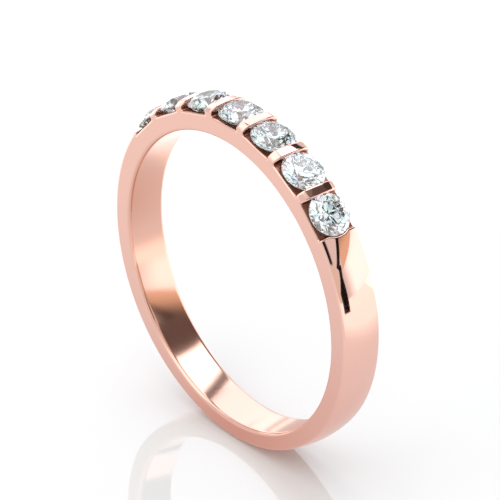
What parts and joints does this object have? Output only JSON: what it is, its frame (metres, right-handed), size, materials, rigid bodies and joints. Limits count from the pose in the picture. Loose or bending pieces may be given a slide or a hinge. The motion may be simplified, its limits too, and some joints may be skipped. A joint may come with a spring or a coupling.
{
  "type": "diamond wedding band",
  "caption": "Half-round rose gold wedding band with a row of round brilliant diamonds across the head, each held between transverse bars.",
  "frame": {"origin": "centre of the finger bore", "axes": "+Y along the finger, +Z out of the finger through the middle diamond, +X across the finger"},
  "size_m": [0.019, 0.0024, 0.0193],
  "materials": {
    "rose_gold": "high polish 14 carat rose gold",
    "diamond": "polished facets, bruted girdle, near colourless"
  },
  "bodies": {
    "root": {"band": "rose_gold", "diamond_1": "diamond", "diamond_2": "diamond", "diamond_3": "diamond", "diamond_4": "diamond", "diamond_5": "diamond", "diamond_6": "diamond", "diamond_7": "diamond"}
  },
  "joints": []
}
